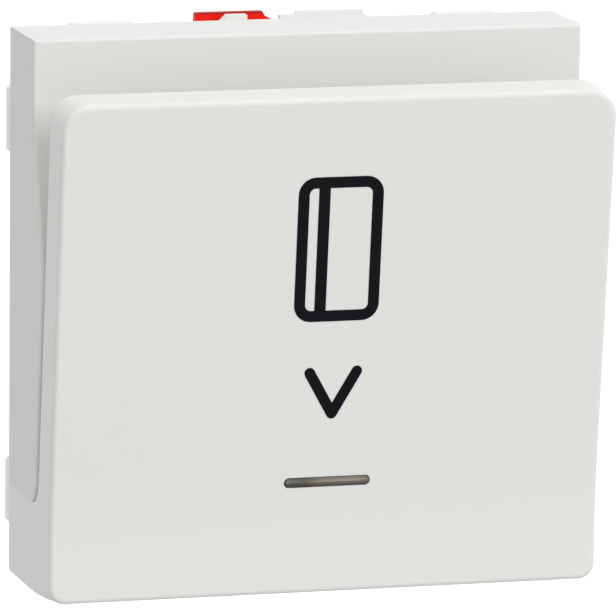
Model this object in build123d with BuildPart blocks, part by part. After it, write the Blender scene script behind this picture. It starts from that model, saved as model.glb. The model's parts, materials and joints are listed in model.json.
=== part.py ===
from build123d import *
import os
from math import cos, radians, sin, tan

# A hotel key card switch, in millimetres.
# X runs right along the front, Y runs into the wall and Z runs up.
# The origin is the centre of the front plate's rear plane, where the flange begins.

# Front outline
unit_width = 45.0
unit_height = 44.07
plate_depth = 7.9
half_width = unit_width / 2
half_height = unit_height / 2

# Clearances
overrun = 1.0
fixed_gap = 0.1
parting_gap = 0.01
moving_gap = 0.3
contact_gap = 0.15
pin_clearance = 0.05
press_clearance = 0.02

# Card slot, as depths in front of the rear plane at mid height. Its faces lean forward.
lean_angle = 6.8
slope = tan(radians(lean_angle))
slot_back_depth = 10.45
slot_width = 0.98
cover_thickness = 4.27
slot_front_depth = slot_back_depth + slot_width
face_depth = slot_front_depth + cover_thickness
cover_drop = 3.5
cover_top_fall = 0.3
cover_top = half_height - cover_drop
face_top = cover_top - cover_top_fall
funnel_drop = 4.63
funnel_top = half_height - funnel_drop
funnel_middle_drop = 11.735
throat_drop = 20.235
throat_height = half_height - throat_drop
foot_rise = 2.04
nose_rise = 1.85
block_height = 7.2
parting_z = block_height - half_height
funnel_depth_share = 0.5

# Front cover
bend_rise = 6.69
bend_run = 3.3
mouth_corner_radius = 2.0
face_corner_radius = 2.4
bottom_corner_radius = 1.45
bottom_corner_start = 7.0
face_edge_radius = 0.4
mouth_edge_radius = 0.25
cover_wall = 1.5
cover_side_wall = 1.8
liner_thickness = 1.0
liner_end_rise = 3.3
block_roof = 1.45
block_wall = 1.6

# How the bottom corners grow: shares of the way to the front, and of the full radius there
corner_growth_shares = [(0, 0), (0.35, 0.1), (0.65, 0.38), (1, 1)]

# Back plate
plate_wall = 1.5
plate_side_wall = 1.6
plate_edge_radius = 0.25
clip_width = 4.0
clip_thickness = 1.1
clip_reach = 3.2
clip_catch = 0.5
clip_root = 2.5
clip_x = 8.5

# Support frame with its snap tabs
flange_thickness = 1.67
flange_inset = 0.8
tab_length = 5.4
tab_offset = 15.08
top_tab_shift = 0.3
side_tab_drop = 0.63
side_tab_play = 0.08
tab_chamfer = 0.25
ear_thickness = 1.5
ear_height = 4.8
side_arm_width = 6.0
side_arm_thickness = 1.2
side_arm_reach = 5.8
side_catch_depth = 0.5
spring_seat_thickness = 0.7

# Housing, seated in a shallow recess of the support frame
housing_half_width = 16.5
housing_top_inset = 4.035
housing_bottom_inset = 3.035
housing_top = half_height - housing_top_inset
housing_bottom = half_height - housing_bottom_inset
housing_depth = 21.0
seat_depth = 0.3
housing_front = flange_thickness - seat_depth
housing_wall = 1.4
housing_corner_radius = 1.2
rear_cover_thickness = 1.6
plug_depth = 1.4
shelf_thickness = 1.0
shelf_length = 9.0
upper_shelf_z = 7.0
lower_shelf_z = -8.0
cell_rib_thickness = 0.8
cell_rib_x = 1.4
screw_post_radius = 2.4
screw_post_inset = 4.6
screw_post_length = 8.0
screw_radius = 1.1
screw_length = 8.5
screw_head_radius = 2.0
screw_slot_width = 0.6
screw_slot_depth = 0.6

# Terminals: wire entry, brass strip, clamp spring
wire_bore_radius = 1.6
wire_lead_in = 0.4
wire_boss_radius = 2.5
wire_drop = 3.0
line_x = -2.3
output_x = 5.5
strip_thickness = 0.8
strip_drop = 0.3
pad_width = 5.2
pad_length = 5.5
pad_rear_gap = 0.6
strip_width = 4.0
strip_rear_gap = 2.0
strip_side_gap = 0.4
spring_strip = 0.4
clamp_width = 4.4
clamp_lip_drop = 2.0
clamp_lip_length = 2.6
clamp_length = 7.5
clamp_rear_gap = 0.8
clamp_bend_radius = 0.7

# Release levers
lever_rear_gap = 6.6
lever_length = 3.8
ridge_length = 0.7
line_lever_proud = 3.58
output_lever_proud = 3.5
finger_pad_proud = 2.2
line_head_left = -5.34
line_head_right = 1.25
output_head_left = 1.8
output_head_right = 9.4
lever_shoulder_reach = 0.7
lever_foot_length = 1.6
lever_foot_inset = 0.6
nub_left = -3.9
nub_right = -1.55
nub_gap = 1.2
nub_length = 1.0
nub_height = 3.62
nub_slope_run = 0.75

# Outlines of the lever heads, as shares of the width and of the height that stands proud
line_head_shares = [(0, 0.04), (0.02, 0), (0.857, 0), (0.892, 0.105), (0.948, 0.154), (1, 0.25)]
output_head_shares = [(0, 0.09), (0.175, 0.08), (0.19, 0.01), (0.22, 0), (0.915, 0), (0.94, 0.13), (1, 0.2)]

# Card lever, its axle and its spring
pivot_depth = 4.0
pivot_z = 3.0
pin_radius = 1.0
hub_radius = 2.2
card_lever_width = 5.0
card_lever_travel = 6.0
nose_lift = 7.335
nose_height = 4.4
nose_tip_height = 0.8
nose_play = 0.28
arm_thickness = 2.4
pad_z = 1.0
spring_seat_y = 4.5
spring_length = 5.0
spring_radius = 1.6
spring_wire = 0.35
spring_turns = 5
pad_half_length = 2.0
tail_gap = 0.8
tail_tip_length = 2.2
tail_top_z = -3.9
tail_thickness = 2.0
window_margin = 0.4

# Changeover contact with its insulating button
button_width = 3.0
button_foot_length = 2.4
button_foot_height = 1.0
button_head_radius = 1.0
frame_window_rise = 1.0
blade_z = -0.5
blade_thickness = 0.4
blade_left_inset = 2.1
blade_right_inset = 4.9
blade_pivot_gap = 0.3
tip_inset = 6.5
tip_radius = 1.2
tip_head = 0.6
tip_shank_radius = 0.7
fixed_strip_reach = 2.0
tip_tilt = 0.3
blade_spring_turns = 6
stop_height = 1.8

# Locator lamp
window_rise = 9.03
window_width = 7.1
window_height = 0.85
window_recess = 0.15
guide_width = 6.4
guide_leg = 1.2
guide_rise = 0.65
lamp_leg_drop = 0.75
guide_end_y = 1.2
board_front = 2.9
board_thickness = 1.0
board_edge = 0.1
board_top_rise = 6.6
led_width = 3.0
led_height = 1.5
led_depth = 1.4
resistor_radius = 1.0
resistor_length = 5.6
lamp_contact_width = 1.2
lamp_contact_gap = 0.5
lamp_contact_strip = 0.3
lamp_contact_drop = 3.2
board_rib_gap = 0.4
board_rib_width = 1.2


def leaning(depth, height):
    """A point of the side view on a face that leans forward with height."""
    return (-depth - height * slope, height)


def block(x_span, y_span, z_span, mode=Mode.ADD):
    """A box between two values on each axis, in the part that is being made."""
    spans = (x_span, y_span, z_span)
    sizes = [max(span) - min(span) for span in spans]
    with Locations(tuple(min(span) for span in spans)):
        Box(*sizes, align=Align.MIN, mode=mode)


def about(centre, size):
    """The span of a size around its centre."""
    return (centre - size / 2, centre + size / 2)


def corner_waste(side, level, rise, depth, radius):
    """What a round corner takes off a sharp one, as a face at one depth in front of the rear plane."""
    corner = (side * half_width, level)
    centre = (side * (half_width - radius), level - rise * radius)
    start_angle = {(1, 1): 0, (-1, 1): 90, (-1, -1): 180, (1, -1): 270}[side, rise]
    with BuildSketch(Plane.XZ.offset(depth), mode=Mode.PRIVATE) as section:
        with BuildLine():
            Line((centre[0], corner[1]), corner)
            Line(corner, (corner[0], centre[1]))
            CenterArc(centre, radius, start_angle, 90)
        make_face()
    return section.sketch.face()


def save(piece, name):
    """Label a finished piece and write its STEP file."""
    piece.part.label = name
    export_step(piece.part, f"parts/{name}.step")


os.makedirs("parts", exist_ok=True)

# Front cover
slot_foot = leaning(slot_front_depth, parting_z + foot_rise)
slot_end = (-plate_depth, parting_z)
bend_z = bend_rise - half_height
chin_depth = face_depth + bend_z * slope
window_z = window_rise - half_height
bend_low = (-chin_depth, bend_z - bend_run)
bend_high = leaning(face_depth, bend_z + bend_run * cos(radians(lean_angle)))
pocket_foot = parting_z + liner_end_rise
pocket_half_width = half_width - cover_side_wall
pocket_top = cover_top - cover_wall
channel_top = window_z + guide_rise
channel_front = leaning(face_depth - cover_wall, window_z)[0]
channel_rear = channel_front + guide_leg
leg_top = parting_z - lamp_leg_drop
leg_bottom = leg_top - guide_leg
guide_channel_half = guide_width / 2 + contact_gap
clip_under = -half_height + block_wall - overrun / 2
cover_clip_z = (clip_under, clip_under + clip_thickness)
side_pocket_inner = guide_channel_half + block_wall
block_inner_front = block_wall - chin_depth
corner_run = chin_depth - bottom_corner_start
corner_sections = [
    (bottom_corner_start + corner_run * along, bottom_corner_radius * grown)
    for along, grown in corner_growth_shares[1:]
]
corner_sections.append((chin_depth + overrun, bottom_corner_radius))
# The top falls towards the front, so its round corners are cut at falling levels
mouth_depth = -leaning(slot_front_depth, cover_top)[0]
top_run = -leaning(face_depth, face_top)[0] - mouth_depth
corner_growth = (face_corner_radius - mouth_corner_radius) / top_run
top_fall_rate = cover_top_fall / top_run
top_corner_sections = [
    (mouth_depth + run, cover_top - top_fall_rate * run, mouth_corner_radius + corner_growth * run)
    for run in (-overrun, top_run + overrun)
]

with BuildPart() as front_cover:
    with BuildSketch(Plane.YZ):
        with BuildLine():
            Polyline(
                bend_high,
                leaning(face_depth, face_top),
                leaning(slot_front_depth, cover_top),
                slot_foot,
            )
            TangentArc(slot_foot, slot_end, tangent=(slope, -1))
            Polyline(slot_end, (0, parting_z), (0, -half_height), (-chin_depth, -half_height), bend_low)
            TangentArc(bend_low, bend_high, tangent=(0, 1))
        make_face()
    extrude(amount=half_width, both=True)
    # The corners grow rounder towards the front, and the bottom ones are sharp behind
    for side in (-1, 1):
        low = [Vertex(side * half_width, -bottom_corner_start, -half_height)]
        for depth, radius in corner_sections:
            low.append(corner_waste(side, -half_height, -1, depth, radius))
        high = [
            corner_waste(side, level, 1, depth, radius)
            for depth, level, radius in top_corner_sections
        ]
        for sections in (low, high):
            for behind, ahead in zip(sections, sections[1:]):
                loft([behind, ahead], mode=Mode.SUBTRACT)
    forward = front_cover.faces().filter_by(lambda face: face.normal_at().Y < -0.9)
    rim = forward.edges().filter_by(lambda edge: len([f for f in forward if edge in f.edges()]) == 1)
    fillet(rim, face_edge_radius)
    mouth = front_cover.edges().filter_by(Axis.X).group_by(Axis.Z)[-1].sort_by(Axis.Y)[-1]
    fillet(mouth, mouth_edge_radius)
    with BuildSketch(Plane.YZ):
        Polygon(
            leaning(face_depth - cover_wall, pocket_top),
            leaning(slot_front_depth - overrun, pocket_top),
            leaning(slot_front_depth - overrun, pocket_foot),
            leaning(face_depth - cover_wall, pocket_foot),
            align=None,
        )
    extrude(amount=pocket_half_width, both=True, mode=Mode.SUBTRACT)
    # The block is hollow from behind, beside and below the light guide's channel
    for side in (-1, 1):
        block(
            (side * side_pocket_inner, side * pocket_half_width),
            (block_inner_front, overrun),
            (-half_height + block_wall, parting_z - block_roof),
            mode=Mode.SUBTRACT,
        )
    block(
        about(0, 2 * side_pocket_inner),
        (block_inner_front, overrun),
        (-half_height + block_wall, leg_bottom - contact_gap - block_wall / 3),
        mode=Mode.SUBTRACT,
    )
    with BuildSketch(Plane.YZ):
        Polygon(
            (channel_front - contact_gap, channel_top + contact_gap),
            (channel_rear + contact_gap, channel_top + contact_gap),
            (channel_rear + contact_gap, leg_top + contact_gap),
            (overrun, leg_top + contact_gap),
            (overrun, leg_bottom - contact_gap),
            (channel_front - contact_gap, leg_bottom - contact_gap),
            align=None,
        )
    extrude(amount=guide_channel_half, both=True, mode=Mode.SUBTRACT)
    with BuildSketch(Plane.XZ.offset(chin_depth + overrun)):
        with Locations((0, window_z)):
            SlotOverall(window_width, window_height)
    extrude(amount=-(chin_depth + overrun + channel_front), mode=Mode.SUBTRACT)
    # Two clips hold the cover behind the flange
    for side in (-1, 1):
        clip_span = about(side * clip_x, clip_width)
        block(clip_span, (-clip_root, clip_reach), cover_clip_z)
        block(
            clip_span,
            (housing_front + fixed_gap, clip_reach),
            (cover_clip_z[1], cover_clip_z[1] + clip_catch),
        )
save(front_cover, "front_cover")

# Liner that closes the hollow cover and guides the card
with BuildPart() as cover_liner:
    with BuildSketch(Plane.YZ):
        Polygon(
            leaning(slot_front_depth + liner_thickness, pocket_top - fixed_gap),
            leaning(slot_front_depth, pocket_top - fixed_gap),
            leaning(slot_front_depth, pocket_foot + fixed_gap),
            leaning(slot_front_depth + liner_thickness, pocket_foot + fixed_gap),
            align=None,
        )
    extrude(amount=pocket_half_width - fixed_gap, both=True)
save(cover_liner, "cover_liner")

# Card lever travel: how far its nose sinks and how far it lifts the blade's contact
inner_half_width = housing_half_width - housing_wall
housing_rear = housing_depth - rear_cover_thickness
shelf_rear = housing_rear - plug_depth
strip_rear = shelf_rear - strip_rear_gap
strip_front = strip_rear - strip_width
tail_end_y = strip_front - tail_gap
blade_left = blade_left_inset - inner_half_width
blade_right = inner_half_width - blade_right_inset
blade_pivot_x = blade_left - blade_pivot_gap
tip_x = inner_half_width - tip_inset
pivot_y = -pivot_depth
nose_z = parting_z + nose_lift
tip_y = leaning(slot_front_depth, nose_z)[0] + nose_play
turn = sin(radians(card_lever_travel))
nose_sink = (pivot_y - tip_y) * turn
button_lift = (tail_end_y - tail_tip_length / 3 - pivot_y) * turn
button_reach = -button_width / 2 - blade_pivot_x
tip_rise = button_lift * (tip_x - blade_pivot_x) / button_reach

# Back plate
throat = leaning(slot_back_depth, throat_height)
nose_start = leaning(slot_back_depth, parting_z + nose_rise)
plate_bottom = parting_z + parting_gap
bend_point = (-plate_depth, funnel_top)
funnel_middle = (
    bend_point[0] + (throat[0] - bend_point[0]) * funnel_depth_share,
    half_height - funnel_middle_drop,
)
nose_inner_low = nose_z - nose_height / 2 - nose_sink - window_margin
nose_inner_high = nose_z + nose_height / 2 + window_margin
plate_floor = plate_bottom + plate_wall
card_window_half = card_lever_width / 2 + window_margin
top_clip = half_height - plate_side_wall + clip_thickness / 2
top_clip_low = top_clip - clip_thickness
side_clip = half_width - plate_side_wall + clip_thickness / 2
side_clip_inner = side_clip - clip_thickness

with BuildPart() as back_plate:
    with BuildSketch(Plane.YZ):
        with BuildLine():
            Polyline((0, plate_bottom), (0, half_height), (-plate_depth, half_height), bend_point)
            Spline(bend_point, funnel_middle, throat, tangents=[(-slope, -1), (slope, -1)])
            Line(throat, nose_start)
            TangentArc(nose_start, (-plate_depth, plate_bottom), tangent=(slope, -1))
            Line((-plate_depth, plate_bottom), (0, plate_bottom))
        make_face()
    extrude(amount=half_width, both=True)
    front_edges = back_plate.edges().filter_by(
        lambda edge: edge.center().Y < -plate_depth / 2 and edge.center().Z > plate_bottom + nose_rise / 2
    )
    rounded = front_edges.filter_by(
        lambda edge: abs(abs(edge.center().X) - half_width) < fixed_gap
        and abs(edge.center().Z - half_height) > fixed_gap
    )
    top_front = front_edges.filter_by(Axis.X).group_by(Axis.Z)[-1]
    fillet(rounded + top_front, plate_edge_radius)
    with BuildSketch(Plane.YZ):
        Polygon(
            (overrun, half_height - plate_side_wall),
            (plate_wall - plate_depth, half_height - plate_side_wall),
            (plate_wall - plate_depth, funnel_top),
            leaning(slot_back_depth - plate_wall, throat_height),
            leaning(slot_back_depth - plate_wall, parting_z + nose_rise),
            (plate_wall - plate_depth, plate_floor),
            (overrun, plate_floor),
            align=None,
        )
    extrude(amount=half_width - plate_side_wall, both=True, mode=Mode.SUBTRACT)
    block(
        about(0, 2 * card_window_half),
        (-face_depth, plate_wall - plate_depth),
        (nose_inner_low, nose_inner_high),
        mode=Mode.SUBTRACT,
    )
    # Two clips at the top and one at each side hold the plate behind the flange
    for side in (-1, 1):
        clip_span = about(side * clip_x, clip_width)
        block(clip_span, (-clip_root, clip_reach), (top_clip_low, top_clip))
        block(clip_span, (housing_front + fixed_gap, clip_reach), (top_clip_low - clip_catch, top_clip_low))
        block((side * side_clip_inner, side * side_clip), (-clip_root, clip_reach), about(0, clip_width))
        block(
            (side * (side_clip_inner - clip_catch), side * side_clip_inner),
            (housing_front + fixed_gap, clip_reach),
            about(0, clip_width),
        )
save(back_plate, "back_plate")

# Support frame
flange_half_width = half_width - flange_inset
flange_half_height = half_height - flange_inset
lever_window_half = card_lever_width / 2 + moving_gap
spring_top = pad_z + spring_length
frame_window_z = (lower_shelf_z + frame_window_rise, spring_top)
ear_x = (lever_window_half, lever_window_half + ear_thickness)
lamp_z = (leg_top + leg_bottom) / 2
clip_hole = clip_width + 2 * moving_gap
inner_top = housing_top - housing_wall
inner_bottom = housing_wall - housing_bottom
housing_middle = (housing_top - housing_bottom) / 2
housing_height = housing_top + housing_bottom
board_rear = board_front + board_thickness
board_z = (inner_bottom + moving_gap, inner_bottom + board_top_rise)
lamp_contact_x = output_x + (pad_width + lamp_contact_width) / 2 + lamp_contact_gap
board_rib_x = lamp_contact_x + (lamp_contact_width + board_rib_width) / 2 + board_rib_gap
board_half_width = board_rib_x + board_rib_width / 2 + board_edge

with BuildPart() as support_frame:
    block(about(0, 2 * flange_half_width), (0, flange_thickness), about(0, 2 * flange_half_height))
    # Eight tabs, two on each side, reach out to the outline and hold in the wall frame
    for across, along in ((1, 0), (-1, 0), (0, 1), (0, -1)):
        for place in (-tab_offset, tab_offset):
            side_tab = (across * (half_width - side_tab_play - flange_inset), place - side_tab_drop)
            end_tab = (place + top_tab_shift, along * (half_height - flange_inset))
            with BuildSketch(Plane.XZ):
                if across:
                    with Locations(side_tab):
                        Rectangle(2 * flange_inset, tab_length)
                else:
                    with Locations(end_tab):
                        Rectangle(tab_length, 2 * flange_inset)
                chamfer(vertices(), tab_chamfer)
            extrude(amount=-flange_thickness)
    # The housing stands in a shallow recess
    with BuildSketch(Plane.XZ.offset(-housing_front)):
        with Locations((0, housing_middle)):
            RectangleRounded(
                2 * (housing_half_width + fixed_gap),
                housing_height + 2 * fixed_gap,
                housing_corner_radius + fixed_gap,
            )
    extrude(amount=-seat_depth - overrun, mode=Mode.SUBTRACT)
    block(about(0, 2 * lever_window_half), (-overrun, flange_thickness + overrun), frame_window_z,
          mode=Mode.SUBTRACT)
    block(
        about(0, guide_width + 2 * moving_gap),
        (-overrun, flange_thickness + overrun),
        about(lamp_z, led_height + 2 * moving_gap),
        mode=Mode.SUBTRACT,
    )
    # Notches let the clips of the cover and the plate pass, and their hooks lie in recesses behind
    for side in (-1, 1):
        across_clip = about(side * clip_x, clip_hole)
        for y_span, hook in (((-overrun, flange_thickness + overrun), 0),
                             ((housing_front, flange_thickness + overrun), clip_catch)):
            block(
                across_clip,
                y_span,
                (-half_height, cover_clip_z[1] + hook + fixed_gap),
                mode=Mode.SUBTRACT,
            )
            block(
                across_clip,
                y_span,
                (top_clip_low - hook - fixed_gap, half_height),
                mode=Mode.SUBTRACT,
            )
            block(
                (side * (side_clip_inner - hook - fixed_gap), side * half_width),
                y_span,
                about(0, clip_hole),
                mode=Mode.SUBTRACT,
            )
    # Ears carry the axle in front of the window
    for side in (-1, 1):
        block(
            (side * ear_x[0], side * ear_x[1]),
            (pivot_y - hub_radius, 0),
            about(pivot_z, ear_height),
        )
    with BuildSketch(Plane.YZ.offset(-ear_x[1] - overrun)):
        with Locations((pivot_y, pivot_z)):
            Circle(pin_radius + press_clearance)
    extrude(amount=2 * (ear_x[1] + overrun), mode=Mode.SUBTRACT)
    # Shelf over the lever's spring
    block(
        about(0, 2 * lever_window_half),
        (0, spring_seat_y + pad_half_length),
        (spring_top, spring_top + spring_seat_thickness),
    )
    # Ribs in front of the circuit board, and arms that snap over the housing
    for side in (-1, 1):
        block(
            about(side * board_rib_x, board_rib_width),
            (0, board_front - fixed_gap),
            (board_z[0] + moving_gap, board_z[1] - moving_gap),
        )
        arm_inner = side * (housing_half_width + fixed_gap)
        arm_outer = arm_inner + side * side_arm_thickness
        catch_in = side * (housing_half_width - side_catch_depth)
        arm_end = flange_thickness + side_arm_reach
        block((arm_inner, arm_outer), (0, arm_end), about(clip_width + side_arm_width, side_arm_width))
        block(
            (catch_in, arm_inner),
            (arm_end - side_arm_thickness, arm_end),
            about(clip_width + side_arm_width, side_arm_width),
        )
save(support_frame, "support_frame")

# Housing
shelf_front = shelf_rear - shelf_length
pad_rear = shelf_rear - pad_rear_gap
pad_front = pad_rear - pad_length
lever_rear = shelf_rear - lever_rear_gap
lever_front = lever_rear - lever_length
nub_front = lever_front - nub_gap - nub_length
screw_post_x = inner_half_width - screw_post_inset
screw_post_front = shelf_rear - screw_post_length
post_reach = screw_post_radius - shelf_thickness / 2
upper_post_z = upper_shelf_z - post_reach
lower_post_z = lower_shelf_z + post_reach
lever_window = (line_head_left - moving_gap, output_head_right + moving_gap)
strip_hole = (strip_front - moving_gap, strip_rear + moving_gap)
strip_outer = inner_half_width - strip_side_gap

with BuildPart() as mechanism_housing:
    with BuildSketch(Plane.XZ.offset(-housing_front)):
        with Locations((0, housing_middle)):
            RectangleRounded(2 * housing_half_width, housing_height, housing_corner_radius)
            Rectangle(2 * inner_half_width, housing_height - 2 * housing_wall, mode=Mode.SUBTRACT)
    extrude(amount=housing_front - housing_rear)
    # Two shelves part the terminals from the changeover contact
    for shelf in ((upper_shelf_z, upper_shelf_z + shelf_thickness),
                  (lower_shelf_z - shelf_thickness, lower_shelf_z)):
        block(about(0, 2 * inner_half_width), (shelf_front, shelf_rear), shelf)
    for wall_span in ((upper_shelf_z, inner_top), (inner_bottom, lower_shelf_z)):
        block(about(cell_rib_x, cell_rib_thickness), (pad_front, shelf_rear), wall_span)
    for side in (-1, 1):
        block(
            (side * (strip_outer - strip_thickness - moving_gap), side * inner_half_width),
            strip_hole,
            (lower_shelf_z - 2 * shelf_thickness, upper_shelf_z + 2 * shelf_thickness),
            mode=Mode.SUBTRACT,
        )
    for wall_span in ((inner_top - overrun, housing_top + overrun),
                      (-housing_bottom - overrun, inner_bottom + overrun)):
        block(
            lever_window,
            (lever_front - moving_gap, lever_rear + moving_gap),
            wall_span,
            mode=Mode.SUBTRACT,
        )
    # Screw posts hang from the shelves
    for post_x, post_z in ((-screw_post_x, upper_post_z), (screw_post_x, lower_post_z)):
        with BuildSketch(Plane.XZ.offset(-screw_post_front)):
            with Locations((post_x, post_z)):
                Circle(screw_post_radius)
        extrude(amount=screw_post_front - shelf_rear)
        with BuildSketch(Plane.XZ.offset(-shelf_rear - overrun)):
            with Locations((post_x, post_z)):
                Circle(screw_radius + press_clearance)
        extrude(amount=screw_length + overrun, mode=Mode.SUBTRACT)
    # Stop under the card lever's tail, ribs behind the board, holes for the support frame's arms
    block(
        about(0, card_lever_width),
        (shelf_front, tail_end_y - moving_gap),
        (lower_shelf_z, lower_shelf_z + stop_height),
    )
    for side in (-1, 1):
        block(
            about(side * board_rib_x, board_rib_width),
            (board_rear + fixed_gap, board_rear + board_thickness + fixed_gap),
            (inner_bottom, board_z[1] - board_thickness),
        )
        catch_hole = (
            side * (housing_half_width - side_catch_depth - fixed_gap),
            side * (housing_half_width + overrun),
        )
        arm_end = flange_thickness + side_arm_reach
        block(
            catch_hole,
            (arm_end - side_arm_thickness - fixed_gap, arm_end + fixed_gap),
            about(clip_width + side_arm_width, side_arm_width + 2 * fixed_gap),
            mode=Mode.SUBTRACT,
        )
    # A small guard stands in front of the line lever
    with BuildSketch(Plane.XZ.offset(-nub_front)):
        Polygon(
            (nub_left, housing_top - housing_wall / 2),
            (nub_left, housing_top + nub_height - nub_slope_run),
            (nub_left + nub_slope_run, housing_top + nub_height),
            (nub_right, housing_top + nub_height),
            (nub_right, housing_top - housing_wall / 2),
            align=None,
        )
    extrude(amount=-nub_length)
save(mechanism_housing, "mechanism_housing")

# Rear cover with the wire entries
terminals = {
    "line": (line_x, 1),
    "output_one": (output_x, 1),
    "output_two": (output_x, -1),
    "neutral": (line_x, -1),
}


def wall_offset(side, distance):
    """A height measured inwards from the upper (1) or lower (-1) inner wall."""
    return inner_top - distance if side > 0 else inner_bottom + distance


wire_places = [(x, wall_offset(side, wire_drop)) for x, side in terminals.values()]
screw_places = [(-screw_post_x, upper_post_z), (screw_post_x, lower_post_z)]

with BuildPart() as rear_cover:
    with BuildSketch(Plane.XZ.offset(-housing_rear)):
        with Locations((0, housing_middle)):
            RectangleRounded(2 * housing_half_width, housing_height, housing_corner_radius)
    extrude(amount=-rear_cover_thickness)
    outer_face = rear_cover.faces().sort_by(Axis.Y)[-1]
    chamfer(outer_face.edges(), wire_lead_in)
    with BuildSketch(Plane.XZ.offset(-shelf_rear - fixed_gap)):
        with Locations(*wire_places):
            Circle(wire_boss_radius)
    extrude(amount=fixed_gap - plug_depth)
    # A low rim locates the cover inside the housing
    with BuildSketch(Plane.XZ.offset(-shelf_rear - fixed_gap)):
        with Locations((0, housing_middle)):
            Rectangle(2 * (inner_half_width - fixed_gap), housing_height - 2 * housing_wall - 2 * fixed_gap)
            Rectangle(
                2 * (inner_half_width - housing_wall),
                housing_height - 4 * housing_wall,
                mode=Mode.SUBTRACT,
            )
    extrude(amount=fixed_gap - plug_depth)
    with BuildSketch(Plane.XZ.offset(-housing_depth)):
        with Locations(*wire_places):
            Circle(wire_bore_radius)
    extrude(amount=housing_depth, mode=Mode.SUBTRACT)
    mouths = rear_cover.edges().filter_by(GeomType.CIRCLE).filter_by(
        lambda edge: abs(edge.radius - wire_bore_radius) < press_clearance
        and edge.center().Y > housing_depth - fixed_gap
    )
    chamfer(mouths, wire_lead_in)
    with Locations(*[Location((x, housing_depth, z), (-90, 0, 0)) for x, z in screw_places]):
        CounterSinkHole(
            screw_radius + press_clearance,
            screw_head_radius + fixed_gap,
            depth=rear_cover_thickness + overrun,
        )
save(rear_cover, "rear_cover")

# Two countersunk screws
with BuildPart() as housing_screws:
    for x, z in screw_places:
        with BuildSketch(Plane.XZ.offset(-housing_depth)):
            with Locations((x, z)):
                Circle(screw_radius)
        extrude(amount=screw_length)
        with BuildSketch(Plane.XZ.offset(-housing_depth)):
            with Locations((x, z)):
                Circle(screw_head_radius)
        with BuildSketch(Plane.XZ.offset(screw_head_radius - screw_radius - housing_depth)):
            with Locations((x, z)):
                Circle(screw_radius)
        loft()
        block(
            about(x, 2 * screw_head_radius),
            (housing_depth - screw_slot_depth, housing_depth + overrun),
            about(z, screw_slot_width),
            mode=Mode.SUBTRACT,
        )
save(housing_screws, "housing_screws")

# Light guide: a pill in the window, a leg down and a leg back to the lamp
window_face = leaning(face_depth, window_z)[0]
with BuildPart() as light_guide:
    with BuildSketch(Plane.XZ.offset(-channel_front)):
        with Locations((0, window_z)):
            SlotOverall(window_width - fixed_gap, window_height - fixed_gap)
    extrude(amount=channel_front - window_face - window_recess)
    with BuildSketch(Plane.YZ):
        Polygon(
            (channel_front, channel_top),
            (channel_rear - guide_leg / 2, channel_top),
            (channel_rear, channel_top - guide_leg / 2),
            (channel_rear, leg_top),
            (guide_end_y, leg_top),
            (guide_end_y, leg_bottom),
            (channel_front + guide_leg / 2, leg_bottom),
            (channel_front, leg_bottom + guide_leg / 2),
            align=None,
        )
    extrude(amount=guide_width / 2, both=True)
save(light_guide, "light_guide")

# Card lever: a hub, an arm down to the nose in the slot and a tail back to the button
nose_root_y = leaning(slot_back_depth - plate_wall, nose_z)[0] + window_margin
tail_under = tail_top_z - tail_thickness
with BuildPart() as card_lever:
    with BuildSketch(Plane.YZ):
        with Locations((pivot_y, pivot_z)):
            Circle(hub_radius)
        Polygon(
            (pivot_y - hub_radius, pivot_z),
            (nose_root_y, nose_z + nose_height / 2),
            (tip_y, nose_z + nose_tip_height / 2),
            (tip_y, nose_z - nose_tip_height / 2),
            (nose_root_y, nose_z - nose_height / 2),
            (nose_root_y + arm_thickness, nose_z - nose_height / 2),
            (pivot_y + hub_radius, pivot_z),
            align=None,
        )
        Polygon(
            (pivot_y, pivot_z + hub_radius),
            (spring_seat_y - pad_half_length, pad_z),
            (spring_seat_y + pad_half_length, pad_z),
            (tail_end_y - tail_tip_length, tail_top_z),
            (tail_end_y, tail_top_z),
            (tail_end_y, tail_under),
            (tail_end_y - tail_tip_length, tail_under),
            (spring_seat_y, pad_z - tail_thickness),
            (pivot_y, pivot_z - hub_radius),
            align=None,
        )
    extrude(amount=card_lever_width / 2, both=True)
    nose_edges = card_lever.edges().filter_by(Axis.X).group_by(Axis.Y)[0]
    fillet(nose_edges, nose_tip_height / 3)
    with BuildSketch(Plane.YZ):
        with Locations((pivot_y, pivot_z)):
            Circle(pin_radius + pin_clearance)
    extrude(amount=card_lever_width, both=True, mode=Mode.SUBTRACT)
save(card_lever, "card_lever")

with BuildPart() as lever_pin:
    with BuildSketch(Plane.YZ.offset(-ear_x[1])):
        with Locations((pivot_y, pivot_z)):
            Circle(pin_radius)
    extrude(amount=2 * ear_x[1])
    chamfer(lever_pin.edges().filter_by(GeomType.CIRCLE), pin_clearance)
save(lever_pin, "lever_pin")


def coil(place, bottom, length, radius, wire, turns):
    """One compression spring: its path, placed upright between two seats."""
    rise = length - wire - 2 * press_clearance
    with BuildPart() as spring:
        with BuildLine():
            path = Helix(rise / turns, rise, radius, center=(*place, bottom + wire / 2 + press_clearance))
        with BuildSketch(Plane(origin=path @ 0, z_dir=path % 0)):
            Circle(wire / 2)
        sweep(is_frenet=True)
    return spring, rise / turns - wire


lever_spring, lever_coil_gap = coil(
    (0, spring_seat_y), pad_z, spring_length, spring_radius, spring_wire, spring_turns
)
save(lever_spring, "lever_spring")

# Changeover contact. The blade rocks on the line strip's end and carries a silver contact.
blade_top = blade_z + blade_thickness
strip_middle = (strip_front + strip_rear) / 2
lower_tip_top = blade_z - tip_head - contact_gap
lower_strip_top = lower_tip_top - tip_head
upper_tip_bottom = blade_top + tip_head + tip_rise + tip_tilt
upper_strip_bottom = upper_tip_bottom + tip_head

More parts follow.
